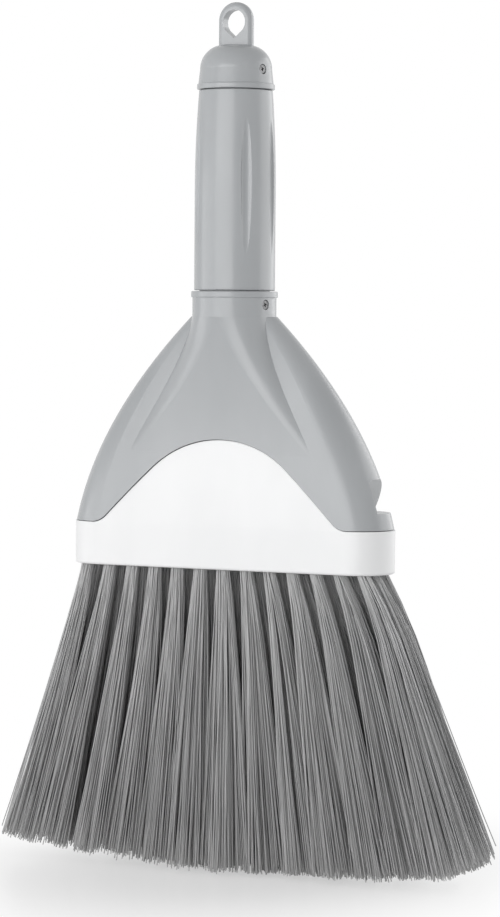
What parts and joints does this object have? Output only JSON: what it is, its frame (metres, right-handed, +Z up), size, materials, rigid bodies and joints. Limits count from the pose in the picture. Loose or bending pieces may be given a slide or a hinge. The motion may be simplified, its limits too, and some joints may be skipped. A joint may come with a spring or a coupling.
{
  "type": "hand broom",
  "caption": "Short hand broom: hang-eye cap and fluted grip on a winged plastic head that holds an arched white block with fanned bristle tufts.",
  "frame": {"origin": "on the floor under the handle's axis, in the middle of the bristle tips", "axes": "+Z up along the handle, +X along the head, front of the head towards -Y"},
  "size_m": [0.2, 0.0424, 0.3255],
  "materials": {
    "grey_plastic": "satin moulded polypropylene, cool light grey",
    "white_plastic": "satin moulded polypropylene, white",
    "bristle_fibre": "crimped synthetic filament, mid grey",
    "screw_steel": "zinc plated",
    "anchor_wire": "drawn flat wire"
  },
  "bodies": {
    "root": {"anchors_front": "anchor_wire", "anchors_middle": "anchor_wire", "anchors_rear": "anchor_wire", "block_screws": "screw_steel", "bristle_block": "white_plastic", "cap_screw": "screw_steel", "collar_screw": "screw_steel", "end_cap": "grey_plastic", "grip_tube": "grey_plastic", "head_shell": "grey_plastic", "tuft_front_01": "bristle_fibre", "tuft_front_02": "bristle_fibre", "tuft_front_03": "bristle_fibre", "tuft_front_04": "bristle_fibre", "tuft_front_05": "bristle_fibre", "tuft_front_06": "bristle_fibre", "tuft_front_07": "bristle_fibre", "tuft_front_08": "bristle_fibre", "tuft_front_09": "bristle_fibre", "tuft_front_10": "bristle_fibre", "tuft_front_11": "bristle_fibre", "tuft_front_12": "bristle_fibre", "tuft_front_13": "bristle_fibre", "tuft_middle_01": "bristle_fibre", "tuft_middle_02": "bristle_fibre", "tuft_middle_03": "bristle_fibre", "tuft_middle_04": "bristle_fibre", "tuft_middle_05": "bristle_fibre", "tuft_middle_06": "bristle_fibre", "tuft_middle_07": "bristle_fibre", "tuft_middle_08": "bristle_fibre", "tuft_middle_09": "bristle_fibre", "tuft_middle_10": "bristle_fibre", "tuft_middle_11": "bristle_fibre", "tuft_middle_12": "bristle_fibre", "tuft_middle_13": "bristle_fibre", "tuft_rear_01": "bristle_fibre", "tuft_rear_02": "bristle_fibre", "tuft_rear_03": "bristle_fibre", "tuft_rear_04": "bristle_fibre", "tuft_rear_05": "bristle_fibre", "tuft_rear_06": "bristle_fibre", "tuft_rear_07": "bristle_fibre", "tuft_rear_08": "bristle_fibre", "tuft_rear_09": "bristle_fibre", "tuft_rear_10": "bristle_fibre", "tuft_rear_11": "bristle_fibre", "tuft_rear_12": "bristle_fibre", "tuft_rear_13": "bristle_fibre"}
  },
  "joints": []
}
